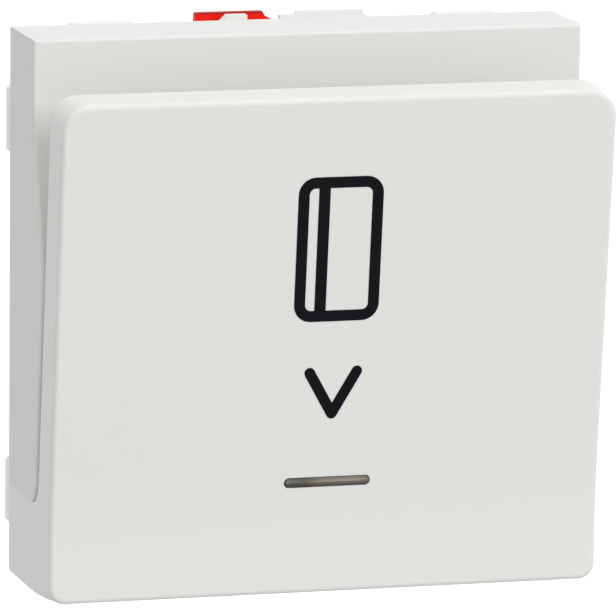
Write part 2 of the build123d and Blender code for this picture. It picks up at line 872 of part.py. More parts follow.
with BuildPart() as contact_blade:
    block((blade_left, blade_right), (strip_front, strip_rear), (blade_z, blade_top))
    ends = contact_blade.edges().filter_by(Axis.Z).group_by(Axis.X)[-1]
    fillet(ends, tip_shank_radius)
    with Locations((tip_x, strip_middle, blade_top), (0, strip_middle, blade_top)):
        Hole(tip_shank_radius + press_clearance, depth=blade_thickness)
save(contact_blade, "contact_blade")

with BuildPart() as blade_contact:
    with BuildSketch(Plane.XY.offset(blade_z - tip_head)):
        with Locations((tip_x, strip_middle)):
            Circle(tip_radius)
    extrude(amount=tip_head)
    with BuildSketch(Plane.XY.offset(blade_z)):
        with Locations((tip_x, strip_middle)):
            Circle(tip_shank_radius)
    extrude(amount=blade_thickness)
    with BuildSketch(Plane.XY.offset(blade_top)):
        with Locations((tip_x, strip_middle)):
            Circle(tip_radius)
    extrude(amount=tip_head)
save(blade_contact, "blade_contact")

blade_spring_x = screw_post_radius + moving_gap + spring_radius + spring_wire / 2 - screw_post_x
blade_spring, blade_coil_gap = coil(
    (blade_spring_x, strip_middle),
    blade_top,
    upper_shelf_z - blade_top,
    spring_radius,
    spring_wire,
    blade_spring_turns,
)
save(blade_spring, "blade_spring")

# Insulating button riveted through the blade, with a foot over the card lever's tail
button_front = strip_front + moving_gap
button_low = tail_top_z + moving_gap
button_head_low = blade_top + press_clearance
with BuildPart() as contact_button:
    block(
        about(0, button_width),
        (button_front, strip_rear - moving_gap),
        (button_low, blade_z - press_clearance),
    )
    block(
        about(0, button_width),
        (button_front - button_foot_length, button_front),
        (button_low, button_low + button_foot_height),
    )
    with BuildSketch(Plane.XY.offset(blade_z - press_clearance)):
        with Locations((0, strip_middle)):
            Circle(tip_shank_radius)
    extrude(amount=button_head_low - blade_z + press_clearance)
    with BuildSketch(Plane.XY.offset(button_head_low)):
        with Locations((0, strip_middle)):
            Circle(button_head_radius)
    extrude(amount=tip_head)
save(contact_button, "contact_button")

# Brass strips, bent in the front view and extruded along the depth
upper_strip_z = wall_offset(1, strip_drop)
lower_strip_z = wall_offset(-1, strip_drop)


def strip(points, pad_centre, pad_side):
    """A bent strip with the wider pad that the wire is pressed on."""
    with BuildPart() as piece:
        with BuildSketch(Plane.XZ.offset(-strip_rear)):
            with BuildLine():
                FilletPolyline(*points, radius=strip_thickness)
                offset(amount=strip_thickness / 2, side=Side.BOTH)
            make_face()
        extrude(amount=strip_rear - strip_front)
        pad_inner = pad_side - strip_thickness if pad_side > 0 else pad_side + strip_thickness
        block(about(pad_centre, pad_width), (pad_front, pad_rear), (pad_inner, pad_side))
    return piece


half_strip = strip_thickness / 2
side_path = strip_outer - half_strip
upper_path = upper_strip_z - half_strip
lower_path = lower_strip_z + half_strip
blade_path = blade_z - contact_gap - half_strip
upper_contact_path = upper_strip_bottom + half_strip
lower_contact_path = lower_strip_top - half_strip
fixed_strip_left = tip_x - fixed_strip_reach

line_points = [
    (line_x, upper_path),
    (-side_path, upper_path),
    (-side_path, blade_path),
    (blade_left + pad_width / 2, blade_path),
]
line_busbar = strip(line_points, line_x, upper_strip_z)
save(line_busbar, "line_busbar")

output_one_points = [
    (output_x, upper_path),
    (side_path, upper_path),
    (side_path, upper_contact_path),
    (fixed_strip_left, upper_contact_path),
]
output_one_busbar = strip(output_one_points, output_x, upper_strip_z)
save(output_one_busbar, "output_one_busbar")

output_two_points = [
    (output_x, lower_path),
    (side_path, lower_path),
    (side_path, lower_contact_path),
    (fixed_strip_left, lower_contact_path),
]
output_two_busbar = strip(output_two_points, output_x, lower_strip_z)
save(output_two_busbar, "output_two_busbar")

with BuildPart() as neutral_busbar:
    block(
        (-lamp_contact_x - lamp_contact_width, line_x),
        (strip_front, strip_rear),
        (lower_strip_z, lower_strip_z + strip_thickness),
    )
    block(about(line_x, pad_width), (pad_front, pad_rear), (lower_strip_z, lower_strip_z + strip_thickness))
save(neutral_busbar, "neutral_busbar")

with BuildPart() as output_contacts:
    for low in (lower_tip_top - tip_head, upper_tip_bottom):
        with BuildSketch(Plane.XY.offset(low)):
            with Locations((tip_x, strip_middle)):
                Circle(tip_radius)
        extrude(amount=tip_head)
save(output_contacts, "output_contacts")


def lever_outline(left, right, side, proud, shares):
    """The ridge's outline in the front view, from the window up and over the stepped top."""
    wall = housing_top if side > 0 else -housing_bottom
    inner = wall_offset(side, moving_gap)
    points = [(left, inner)]
    for along, drop in shares:
        points.append((left + (right - left) * along, wall + side * proud * (1 - drop)))
    points.append((right, inner))
    return points


line_head = (line_head_left, line_head_right, line_lever_proud, line_head_shares)
output_head = (output_head_left, output_head_right, output_lever_proud, output_head_shares)
heads = {"line": line_head, "output_one": output_head, "output_two": output_head, "neutral": line_head}
clamp_heel = shelf_rear - clamp_rear_gap
clamp_lip_front = clamp_heel - clamp_length
clamp_lip_rear = clamp_lip_front + clamp_lip_length
lever_foot_front = clamp_lip_front - fixed_gap

for name, (x, side) in terminals.items():
    left, right, proud, shares = heads[name]
    # The release lever: ridge, finger pad, shoulder under the wall and foot over the spring's lip
    lip = wall_offset(side, clamp_lip_drop)
    foot_low = lip + side * contact_gap
    shoulder_top = wall_offset(side, moving_gap)
    shoulder_low = shoulder_top - side * strip_thickness
    outer_wall = housing_top if side > 0 else -housing_bottom
    shoulder_left = left - lever_shoulder_reach if x == line_x else left
    shoulder_right = right if x == line_x else right + lever_shoulder_reach
    with BuildPart() as release_lever:
        with BuildSketch(Plane.XZ.offset(-lever_front)):
            Polygon(*lever_outline(left, right, side, proud, shares), align=None)
        extrude(amount=-ridge_length)
        block((left, right), (lever_front, lever_rear), (shoulder_top, outer_wall + side * finger_pad_proud))
        block((shoulder_left, shoulder_right), (lever_front, lever_rear), (shoulder_low, shoulder_top))
        block(
            (left + lever_foot_inset, right - lever_foot_inset),
            (lever_foot_front, lever_foot_front + lever_foot_length),
            (foot_low, shoulder_low),
        )
    save(release_lever, f"{name}_release_lever")

    # The clamp spring: a leg on the shelf, a bend at the heel, and the blade with its lip
    floor = upper_shelf_z + shelf_thickness if side > 0 else lower_shelf_z - shelf_thickness
    leg = floor + side * (spring_strip / 2 + press_clearance)
    lip_middle = lip - side * spring_strip / 2
    with BuildPart() as clamp_spring:
        with BuildSketch(Plane.YZ.offset(x - clamp_width / 2)):
            with BuildLine():
                FilletPolyline(
                    (clamp_lip_front, leg),
                    (clamp_heel, leg),
                    (clamp_heel, leg + side * 2 * clamp_bend_radius),
                    (clamp_lip_rear, lip_middle),
                    (clamp_lip_front, lip_middle),
                    radius=clamp_bend_radius,
                )
                offset(amount=spring_strip / 2, side=Side.BOTH)
            make_face()
        extrude(amount=clamp_width)
    save(clamp_spring, f"{name}_clamp_spring")

# Circuit board of the locator lamp
with BuildPart() as circuit_board:
    block(about(0, 2 * board_half_width), (board_front, board_front + board_thickness), board_z)
save(circuit_board, "circuit_board")

with BuildPart() as indicator_led:
    block(
        about(0, led_width),
        (board_front - led_depth, board_front),
        about(lamp_z, led_height),
    )
    lens = indicator_led.faces().sort_by(Axis.Y)[0]
    chamfer(lens.edges(), led_depth / 4)
save(indicator_led, "indicator_led")

with BuildPart() as lamp_resistor:
    with BuildSketch(Plane.YZ.offset(-resistor_length / 2)):
        with Locations((board_rear + resistor_radius, (board_z[0] + board_z[1]) / 2)):
            Circle(resistor_radius)
    extrude(amount=resistor_length)
    fillet(lamp_resistor.edges().filter_by(GeomType.CIRCLE), resistor_radius / 4)
save(lamp_resistor, "lamp_resistor")

contact_high = board_z[1] - lamp_contact_drop / 2
contact_low = lower_strip_z + strip_thickness + lamp_contact_strip / 2
with BuildPart() as lamp_contacts:
    for side in (-1, 1):
        with BuildSketch(Plane.YZ.offset(side * lamp_contact_x - lamp_contact_width / 2)):
            with BuildLine():
                FilletPolyline(
                    (board_rear + lamp_contact_strip / 2, contact_high - lamp_contact_drop / 2),
                    (board_rear + lamp_contact_strip / 2, contact_high),
                    (strip_front - strip_thickness, contact_high),
                    (strip_front + strip_thickness, contact_low),
                    (strip_rear - strip_thickness, contact_low),
                    radius=clamp_bend_radius / 2,
                )
                offset(amount=lamp_contact_strip / 2, side=Side.BOTH)
            make_face()
        extrude(amount=lamp_contact_width)
save(lamp_contacts, "lamp_contacts")

print(f"least gap between the coils: lever spring {lever_coil_gap:.2f}, blade spring {blade_coil_gap:.2f} mm")
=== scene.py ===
import json
from math import atan2, cos, pi, radians, sin, tan

import bmesh
import bpy
from mathutils import Matrix, Vector


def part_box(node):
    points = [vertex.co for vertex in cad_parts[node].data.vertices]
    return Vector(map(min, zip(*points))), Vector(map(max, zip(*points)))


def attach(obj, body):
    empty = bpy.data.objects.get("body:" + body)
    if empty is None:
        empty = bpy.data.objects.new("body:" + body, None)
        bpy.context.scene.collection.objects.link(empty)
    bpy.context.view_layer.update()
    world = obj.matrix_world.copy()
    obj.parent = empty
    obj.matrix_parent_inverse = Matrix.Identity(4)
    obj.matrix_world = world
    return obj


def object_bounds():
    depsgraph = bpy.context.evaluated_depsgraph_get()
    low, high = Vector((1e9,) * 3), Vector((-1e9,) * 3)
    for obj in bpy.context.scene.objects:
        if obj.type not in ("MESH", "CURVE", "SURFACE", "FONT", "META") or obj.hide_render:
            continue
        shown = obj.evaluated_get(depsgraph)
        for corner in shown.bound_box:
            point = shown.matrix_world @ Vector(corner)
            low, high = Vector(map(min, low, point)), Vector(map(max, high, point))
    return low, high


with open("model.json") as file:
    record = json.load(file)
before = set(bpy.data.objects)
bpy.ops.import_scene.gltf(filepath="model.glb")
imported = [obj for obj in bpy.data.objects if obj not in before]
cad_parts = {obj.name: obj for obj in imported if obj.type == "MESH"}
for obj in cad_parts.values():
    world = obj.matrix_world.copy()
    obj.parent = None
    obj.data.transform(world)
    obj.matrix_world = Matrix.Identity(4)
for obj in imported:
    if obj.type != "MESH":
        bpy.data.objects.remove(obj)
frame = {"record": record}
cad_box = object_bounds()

# Sizes on the object and the camera's place are in millimetres. The floor, the lamps and the
# camera's range are in metres.
MM = 0.001

# The body that holds all fixed pieces
HOUSING = "housing"

# Camera, from the fit to the photograph: place, axes and focal length in pixels
IMAGE_WIDTH = 616
SENSOR_WIDTH = 36.0
FOCAL_PIXELS = 7477.7
CAMERA_PLACE = Vector((-158.771, -572.404, 105.566)) * MM
CAMERA_RIGHT = Vector((0.963069, -0.269063, 0.010129))
CAMERA_UP = Vector((0.038014, 0.173115, 0.984168))
NEAREST_SEEN = 0.05
FARTHEST_SEEN = 20

# Floor: how far it lies under the object, its width, its own grey, and its light to the camera
FLOOR_DROP = 0.09
FLOOR_WIDTH = 8.0
FLOOR_GREY = 0.5
FLOOR_ROUGHNESS = 0.8
FLOOR_GLOW = 0.65

# World: how strongly it lights the object, and how bright it is where it is seen
WORLD_LIGHT = 0.78
WORLD_SEEN = 1.0

# Square lamps: their width, the point that they face, and each one's place and power
LAMP_WIDTH = 0.8
LAMP_AIM = (0, 0, 0)
LAMPS = {
    "front_left": ((-0.62, -1.2, 0.63), 1.2),
    "front_right": ((0.62, -1.2, 0.63), 8.7),
    "top": ((0.0, 0.4, 1.3), 4.0),
}

# The leaning front face: its depth at mid height, its lean, how far the print stands proud of
# it, and in how many steps the print's round stretches are drawn
FACE_DEPTH = 15.70
LEAN = radians(6.8)
INK_HEIGHT = 0.02
ARC_STEPS = 8

# Card pictogram, as places across the face and heights
CARD_LEFT = -3.34
CARD_RIGHT = 3.59
CARD_TOP = 11.92
CARD_BOTTOM = 0.18
CARD_STROKE = 0.90
CARD_RADIUS = 1.40
STRIPE_X = -1.21
STRIPE_WIDTH = 0.93

# Down chevron: its two ends, its tip and the width of its line
CHEVRON_LEFT = (-1.82, -4.00)
CHEVRON_TIP = (0.11, -7.38)
CHEVRON_RIGHT = (2.04, -3.96)
CHEVRON_WIDTH = 0.87

# Moulded plastic: how many clouds, gloss patches and grains a metre holds, how deep the grain
# is, how much the gloss changes, and how far light goes inside it
PLASTIC_CLOUDS = 45
PLASTIC_GLOSS = 180
PLASTIC_GRAIN = 5200
GRAIN_DEPTH = 0.002
GLOSS_CHANGE = 0.03
PLASTIC_IOR = 1.49
SCATTER_DEPTH = 0.4
SCATTER_COLOURS = (1.0, 0.9, 0.8)
PLASTICS = {
    "white_gloss_plastic": dict(
        colour=(0.735, 0.735, 0.715), roughness=0.34, scatter=0.06, specular=0.03),
    "white_technical_plastic": dict(
        colour=(0.80, 0.80, 0.785), roughness=0.42, tint=0.01, grain_strength=0.1, specular=0.3),
    "white_lever_plastic": dict(
        colour=(0.81, 0.81, 0.805), roughness=0.35, grain_strength=0.06, specular=0.3),
    "grey_plastic": dict(colour=(0.52, 0.52, 0.51), roughness=0.4),
    "natural_plastic": dict(colour=(0.78, 0.75, 0.66), roughness=0.38, scatter=0.1),
    "led_resin": dict(colour=(0.82, 0.8, 0.66), roughness=0.15, scatter=0.3),
}

# The back plate's moulding is a little less glossy than the cover's, and its colour is a shade
# darker: painted shade on a copy of the same white plastic
PLATE_NODE = "back_plate"
PLATE_SHADED_LOOK = dict(colour=(0.725, 0.725, 0.71), roughness=0.38, scatter=0.06, specular=0.01)

# The red lever: its colour, a painted shade of darker red along its rounded left and top edges,
# and where that painted shade fades
RED_LOOK = dict(colour=(0.86, 0.012, 0.006), roughness=0.4, tint=0.03, specular=0.1)
# Painted shade: a darker red laid along the lever's left and top edges
RED_PAINTED_EDGE_SHADE = (0.4, 0.016, 0.012)
RED_EDGE_START = 0.08
RED_EDGE_WIDTH = 0.22

# Metal: scratches and tarnish per metre, how deep the scratches are, how strongly the tarnish
# changes the colour, and the shares of the roughness that the polish runs between
METAL_SCRATCHES = 2600
METAL_TARNISH = 320
SCRATCH_DEPTH = 0.006
SCRATCH_STRENGTH = 0.25
TARNISH_TINT = 0.12
MOST_POLISHED = 0.75
LEAST_POLISHED = 1.3
METALS = {
    "zinc_steel": dict(colour=(0.62, 0.62, 0.6), roughness=0.32),
    "pin_steel": dict(colour=(0.6, 0.6, 0.6), roughness=0.25, stretch=(0.05, 1, 1)),
    "spring_steel": dict(colour=(0.5, 0.5, 0.5), roughness=0.28, stretch=(0.2, 1, 1)),
    "contact_bronze": dict(colour=(0.72, 0.42, 0.22), roughness=0.3, stretch=(0.05, 1, 1)),
    "brass_strip": dict(colour=(0.78, 0.58, 0.26), roughness=0.3, stretch=(1, 0.08, 1)),
    "silver": dict(colour=(0.86, 0.85, 0.82), roughness=0.22),
}


def grey(level):
    """A colour with no hue."""
    return (level, level, level)


# Lamp window: its left end, height and half height. The shades go from its left to its right
# end, with painted shadow at both end rims and a painted glint near the left end, and the bands
# go from its lower to its upper rim, with painted shadow at both rims. The streaks run along it.
WINDOW_LEFT = -3.5
WINDOW_Z = -13.0
WINDOW_HALF_HEIGHT = 0.375
# Along the window: painted shadow at both end rims, a painted glint near the left end, and the
# window's own darker left and paler right part between
GUIDE_SHADES_RIM_SHADOW_AND_GLINT = [
    (0.0, (0.03, 0.03, 0.028)),
    (0.02, (0.05, 0.05, 0.04)),
    (0.045, (0.22, 0.22, 0.20)),
    (0.08, (0.16, 0.155, 0.125)),
    (0.26, (0.145, 0.14, 0.10)),
    (0.42, (0.30, 0.26, 0.21)),
    (0.85, (0.34, 0.30, 0.245)),
    (0.95, (0.28, 0.24, 0.195)),
    (1.0, (0.25, 0.215, 0.175)),
]
# Up the window: painted shadow at the lower and upper rims, with lighter and darker bands between
GUIDE_BANDS_AND_RIM_SHADOW = [
    (0.0, (0.12, 0.12, 0.11)),
    (0.14, grey(0.26)),
    (0.36, grey(0.40)),
    (0.47, grey(0.9)),
    (0.56, grey(1.0)),
    (0.68, grey(0.72)),
    (0.88, grey(0.66)),
    (1.0, (0.3, 0.3, 0.28)),
]
GUIDE_ROUGHNESS = (0.16, 0.26)
GUIDE_SPECULAR = 0.3
STREAKS = 5200
STREAK_STRETCH = (0.12, 1, 1)
STREAK_SHADES = (grey(0.5), grey(1.3))
STREAK_SHARE = 0.6
STREAK_DEPTH = 0.004
STREAK_STRENGTH = 0.05

# Printing ink: its darkest and lightest black, clouds and grain per metre, and the grain's depth
INK_SHADES = ((0.004, 0.004, 0.006), (0.007, 0.007, 0.009))
INK_ROUGHNESS = (0.5, 0.6)
INK_SPECULAR = 0.05
INK_CLOUDS = 1500
INK_GRAIN = 6000
INK_GRAIN_DEPTH = 0.003
INK_GRAIN_STRENGTH = 0.1

# Circuit board: weave and tracks per metre, how uneven the weave is and how deep, and the greens
BOARD_WEAVE = 900
WEAVE_DISTORTION = 0.6
WEAVE_DEPTH = 0.01
WEAVE_STRENGTH = 0.15
BOARD_TRACKS = 210
TRACK_GAP = 0.05
BOARD_ROUGHNESS = (0.3, 0.4)
BOARD_GREENS = {
    "Color1": (0.02, 0.16, 0.05),
    "Color2": (0.03, 0.2, 0.07),
    "Mortar": (0.06, 0.3, 0.12),
}

# Resistor: half of its body's length, its lacquer, and where each colour starts along it
RESISTOR_HALF_LENGTH = 2.8
RESISTOR_GLOSS = 1200
RESISTOR_ROUGHNESS = (0.22, 0.3)
LACQUER = (0.55, 0.42, 0.24)
RESISTOR_BANDS = [
    (0.0, LACQUER),
    (0.16, (0.25, 0.1, 0.03)),
    (0.24, LACQUER),
    (0.34, grey(0.01)),
    (0.42, LACQUER),
    (0.52, (0.8, 0.35, 0.02)),
    (0.6, LACQUER),
    (0.78, (0.6, 0.42, 0.1)),
    (0.86, LACQUER),
]

# The colour sockets of a Mix node share their names with others, so they go by number
MIX_FIRST = 6
MIX_SECOND = 7
MIX_RESULT = 2


# Small shader steps
def nodes_of(material):
    """An emptied node tree with one Principled shader on its output."""
    material.use_nodes = True
    tree = material.node_tree
    tree.nodes.clear()
    output = tree.nodes.new("ShaderNodeOutputMaterial")
    shader = tree.nodes.new("ShaderNodeBsdfPrincipled")
    tree.links.new(shader.outputs["BSDF"], output.inputs["Surface"])
    return tree, shader


def feed(tree, socket, value):
    """Link another node's output to a socket, or write a plain value into it."""
    if isinstance(value, bpy.types.NodeSocket):
        tree.links.new(value, socket)
    else:
        socket.default_value = value


def object_place(tree, stretch=(1, 1, 1)):
    """The surface's own coordinates in metres, stretched along the object's axes."""
    place = tree.nodes.new("ShaderNodeTexCoord")
    mapping = tree.nodes.new("ShaderNodeMapping")
    mapping.inputs["Scale"].default_value = stretch
    tree.links.new(place.outputs["Object"], mapping.inputs["Vector"])
    return mapping.outputs["Vector"]


def coordinates(tree):
    """The surface's own X, Y and Z, each as a value."""
    parts = tree.nodes.new("ShaderNodeSeparateXYZ")
    tree.links.new(object_place(tree), parts.inputs["Vector"])
    return parts.outputs


def noise(tree, place, per_metre, detail=2.0, roughness=0.5):
    """One noise texture's grey value."""
    texture = tree.nodes.new("ShaderNodeTexNoise")
    texture.inputs["Scale"].default_value = per_metre
    texture.inputs["Detail"].default_value = detail
    texture.inputs["Roughness"].default_value = roughness
    tree.links.new(place, texture.inputs["Vector"])
    return texture.outputs["Fac"]


def calculate(tree, operation, first, second):
    """One arithmetic step on two values."""
    step = tree.nodes.new("ShaderNodeMath")
    step.operation = operation
    feed(tree, step.inputs[0], first)
    feed(tree, step.inputs[1], second)
    return step.outputs["Value"]


def spread(tree, value, low, high):
    """A grey value spread evenly over a range, with no flat ends."""
    ramp = tree.nodes.new("ShaderNodeMapRange")
    ramp.clamp = False
    ramp.inputs["To Min"].default_value = low
    ramp.inputs["To Max"].default_value = high
    tree.links.new(value, ramp.inputs["Value"])
    return ramp.outputs["Result"]


def share_of(tree, value, start, end, course="LINEAR"):
    """How far a value has come from a start to an end in millimetres, from 0 to 1."""
    share = tree.nodes.new("ShaderNodeMapRange")
    share.interpolation_type = course
    share.inputs["From Min"].default_value = start * MM
    share.inputs["From Max"].default_value = end * MM
    tree.links.new(value, share.inputs["Value"])
    return share.outputs["Result"]


def mixed(tree, factor, first, second, blend="MIX"):
    """Two colours mixed by a factor."""
    mix = tree.nodes.new("ShaderNodeMix")
    mix.data_type = "RGBA"
    mix.blend_type = blend
    feed(tree, mix.inputs["Factor"], factor)
    feed(tree, mix.inputs[MIX_FIRST], first)
    feed(tree, mix.inputs[MIX_SECOND], second)
    return mix.outputs[MIX_RESULT]


def tinted(tree, value, low, high):
    """A colour between two colours, chosen by a grey value."""
    return mixed(tree, value, (*low, 1), (*high, 1))


def ramped(tree, value, stops, course="LINEAR"):
    """A colour chosen by a value from a row of colours, each with its place from 0 to 1."""
    ramp = tree.nodes.new("ShaderNodeValToRGB")
    ramp.color_ramp.interpolation = course
    elements = ramp.color_ramp.elements
    first, *between, last = stops
    for element, (position, colour) in zip(elements, (first, last)):
        element.position = position
        element.color = (*colour, 1)
    for position, colour in between:
        elements.new(position).color = (*colour, 1)
    tree.links.new(value, ramp.inputs["Fac"])
    return ramp.outputs["Color"]


def bumped(tree, value, depth, strength):
    """A normal that follows a grey value as a height, with its depth in millimetres."""
    bump = tree.nodes.new("ShaderNodeBump")
    bump.inputs["Distance"].default_value = depth * MM
    bump.inputs["Strength"].default_value = strength
    tree.links.new(value, bump.inputs["Height"])
    return bump.outputs["Normal"]


def darker_and_lighter(colour, tint):
    """A slightly darker and a slightly lighter form of a colour."""
    darker = [c * (1 - tint) for c in colour]
    lighter = [min(1.0, c * (1 + tint)) for c in colour]
    return darker, lighter


# Materials
def plastic(name, colour, roughness, tint=0.004, grain_strength=0.03, scatter=0.0, specular=0.5):
    """Moulded plastic: faint clouding, uneven gloss and a fine grain."""
    material = bpy.data.materials.new(name)
    tree, shader = nodes_of(material)
    place = object_place(tree)
    cloud = noise(tree, place, PLASTIC_CLOUDS, detail=1)
    gloss = noise(tree, place, PLASTIC_GLOSS)
    grain = noise(tree, place, PLASTIC_GRAIN)
    clouded = tinted(tree, cloud, *darker_and_lighter(colour, tint))
    uneven = spread(tree, gloss, roughness * (1 - GLOSS_CHANGE), roughness * (1 + GLOSS_CHANGE))
    feed(tree, shader.inputs["Base Color"], clouded)
    feed(tree, shader.inputs["Roughness"], uneven)
    feed(tree, shader.inputs["Normal"], bumped(tree, grain, GRAIN_DEPTH, grain_strength))
    shader.inputs["IOR"].default_value = PLASTIC_IOR
    shader.inputs["Specular IOR Level"].default_value = specular
    if scatter:
        shader.inputs["Subsurface Weight"].default_value = scatter
        shader.inputs["Subsurface Radius"].default_value = SCATTER_COLOURS
        shader.inputs["Subsurface Scale"].default_value = SCATTER_DEPTH * MM
    return material


def red_plastic():
    """Red moulded plastic, with painted shade darkening its left and top edges, where it is
    rounded.
    """
    material = plastic("red_plastic", **RED_LOOK)
    tree = material.node_tree
    shader = next(node for node in tree.nodes if node.type == "BSDF_PRINCIPLED")
    low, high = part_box("line_release_lever")
    place = coordinates(tree)
    from_left = calculate(tree, "SUBTRACT", place["X"], low[0])
    from_top = calculate(tree, "SUBTRACT", high[2], place["Z"])
    nearest = calculate(tree, "MINIMUM", from_left, from_top)
    # Painted shade: the dark edge colour fades into the moulded red away from the left and top
    # edges
    painted_shade_fade = share_of(tree, nearest, RED_EDGE_START, RED_EDGE_WIDTH, "SMOOTHSTEP")
    moulded = shader.inputs["Base Color"].links[0].from_socket
    feed(tree, shader.inputs["Base Color"], mixed(tree, painted_shade_fade, (*RED_PAINTED_EDGE_SHADE, 1), moulded))
    return material


def metal(name, colour, roughness, stretch=(1, 1, 1)):
    """Stamped or drawn metal: stretched scratches, cloudy tarnish and uneven polish."""
    material = bpy.data.materials.new(name)
    tree, shader = nodes_of(material)
    scratch = noise(tree, object_place(tree, stretch), METAL_SCRATCHES, detail=4, roughness=0.65)
    tarnish = noise(tree, object_place(tree), METAL_TARNISH, detail=5, roughness=0.6)
    tarnished = tinted(tree, tarnish, *darker_and_lighter(colour, TARNISH_TINT))
    polish = spread(tree, scratch, roughness * MOST_POLISHED, roughness * LEAST_POLISHED)
    feed(tree, shader.inputs["Base Color"], tarnished)
    feed(tree, shader.inputs["Roughness"], polish)
    feed(tree, shader.inputs["Normal"], bumped(tree, scratch, SCRATCH_DEPTH, SCRATCH_STRENGTH))
    shader.inputs["Metallic"].default_value = 1.0
    return material


def smoked_guide():
    """Smoked clear plastic: painted shadow at the rims, a painted glint near the left end, a dark
    left end, a paler right part and streaks.
    """
    material = bpy.data.materials.new("smoked_guide_plastic")
    tree, shader = nodes_of(material)
    place = coordinates(tree)
    across = share_of(tree, place["X"], WINDOW_LEFT, -WINDOW_LEFT)
    lower_rim = WINDOW_Z - WINDOW_HALF_HEIGHT
    upper_rim = WINDOW_Z + WINDOW_HALF_HEIGHT
    upward = share_of(tree, place["Z"], lower_rim, upper_rim)
    # These two ramps hold painted shadow at the window's rims and a painted glint near its left end
    shades = ramped(tree, across, GUIDE_SHADES_RIM_SHADOW_AND_GLINT)
    bands = ramped(tree, upward, GUIDE_BANDS_AND_RIM_SHADOW)
    banded = mixed(tree, 1.0, shades, bands, "MULTIPLY")
    streaks = noise(tree, object_place(tree, STREAK_STRETCH), STREAKS, detail=3)
    streak_shade = tinted(tree, streaks, *STREAK_SHADES)
    streaked = mixed(tree, STREAK_SHARE, banded, streak_shade, "MULTIPLY")
    feed(tree, shader.inputs["Base Color"], streaked)
    feed(tree, shader.inputs["Roughness"], spread(tree, streaks, *GUIDE_ROUGHNESS))
    feed(tree, shader.inputs["Normal"], bumped(tree, streaks, STREAK_DEPTH, STREAK_STRENGTH))
    shader.inputs["IOR"].default_value = PLASTIC_IOR
    shader.inputs["Specular IOR Level"].default_value = GUIDE_SPECULAR
    return material


def printed_ink():
    """Black pad-printing ink: slightly uneven, with a soft sheen."""
    material = bpy.data.materials.new("black_print")
    tree, shader = nodes_of(material)
    place = object_place(tree)
    cloud = noise(tree, place, INK_CLOUDS, detail=3)
    grain = noise(tree, place, INK_GRAIN)
    feed(tree, shader.inputs["Base Color"], tinted(tree, cloud, *INK_SHADES))
    feed(tree, shader.inputs["Roughness"], spread(tree, cloud, *INK_ROUGHNESS))
    feed(tree, shader.inputs["Normal"], bumped(tree, grain, INK_GRAIN_DEPTH, INK_GRAIN_STRENGTH))
    shader.inputs["Specular IOR Level"].default_value = INK_SPECULAR
    return material


def board():
    """Green circuit board: weave under the lacquer and copper tracks."""
    material = bpy.data.materials.new("board_laminate")
    tree, shader = nodes_of(material)
    place = object_place(tree)
    weave = tree.nodes.new("ShaderNodeTexWave")
    weave.inputs["Scale"].default_value = BOARD_WEAVE
    weave.inputs["Distortion"].default_value = WEAVE_DISTORTION
    tree.links.new(place, weave.inputs["Vector"])
    # A quarter turn about X lays the pattern of tracks on the board's front
    turned = tree.nodes.new("ShaderNodeMapping")
    turned.inputs["Rotation"].default_value = (pi / 2, 0, 0)
    tree.links.new(place, turned.inputs["Vector"])
    tracks = tree.nodes.new("ShaderNodeTexBrick")
    tracks.inputs["Scale"].default_value = BOARD_TRACKS
    tracks.inputs["Mortar Size"].default_value = TRACK_GAP
    for socket, green in BOARD_GREENS.items():
        tracks.inputs[socket].default_value = (*green, 1)
    tree.links.new(turned.outputs["Vector"], tracks.inputs["Vector"])
    threads = weave.outputs["Fac"]
    feed(tree, shader.inputs["Base Color"], tracks.outputs["Color"])
    feed(tree, shader.inputs["Roughness"], spread(tree, threads, *BOARD_ROUGHNESS))
    feed(tree, shader.inputs["Normal"], bumped(tree, threads, WEAVE_DEPTH, WEAVE_STRENGTH))
    return material


def banded_resistor():
    """Lacquered resistor with colour bands along its length."""
    material = bpy.data.materials.new("resistor_lacquer")
    tree, shader = nodes_of(material)
    along = share_of(tree, coordinates(tree)["X"], -RESISTOR_HALF_LENGTH, RESISTOR_HALF_LENGTH)
    gloss = noise(tree, object_place(tree), RESISTOR_GLOSS)
    feed(tree, shader.inputs["Base Color"], ramped(tree, along, RESISTOR_BANDS, "CONSTANT"))
    feed(tree, shader.inputs["Roughness"], spread(tree, gloss, *RESISTOR_ROUGHNESS))
    return material


def dress_pieces():
    """Each CAD node keeps its shape and takes its slot's material, and the back plate its own, a
    darker and less glossy copy whose darkness is painted shade.
    """
    materials = {name: plastic(name, **look) for name, look in PLASTICS.items()}
    materials |= {name: metal(name, **look) for name, look in METALS.items()}
    materials["red_plastic"] = red_plastic()
    materials["smoked_guide_plastic"] = smoked_guide()
    materials["board_laminate"] = board()
    materials["resistor_lacquer"] = banded_resistor()
    # A darker copy of the white plastic for the back plate: painted shade, with a little less gloss
    shaded_plate_plastic = plastic("white_plate_plastic", **PLATE_SHADED_LOOK)
    for entry in frame["record"]["subparts"]:
        node = entry["node"]
        material = shaded_plate_plastic if node == PLATE_NODE else materials[entry["material_slot"]]
        for material_slot in bpy.data.objects[node].material_slots:
            material_slot.material = material


# Printed signs, drawn as seen from straight in front and laid on the leaning face
def on_face(x, z, lift):
    """A point over the leaning face, lifted along the face's normal."""
    depth = FACE_DEPTH + z * tan(LEAN)
    return Vector((x, -depth - lift * cos(LEAN), z - lift * sin(LEAN))) * MM


def arc(centre, radius, start, end):
    """Points along a round stretch between two angles."""
    angles = [start + (end - start) * step / ARC_STEPS for step in range(ARC_STEPS + 1)]
    return [(centre[0] + radius * cos(angle), centre[1] + radius * sin(angle)) for angle in angles]


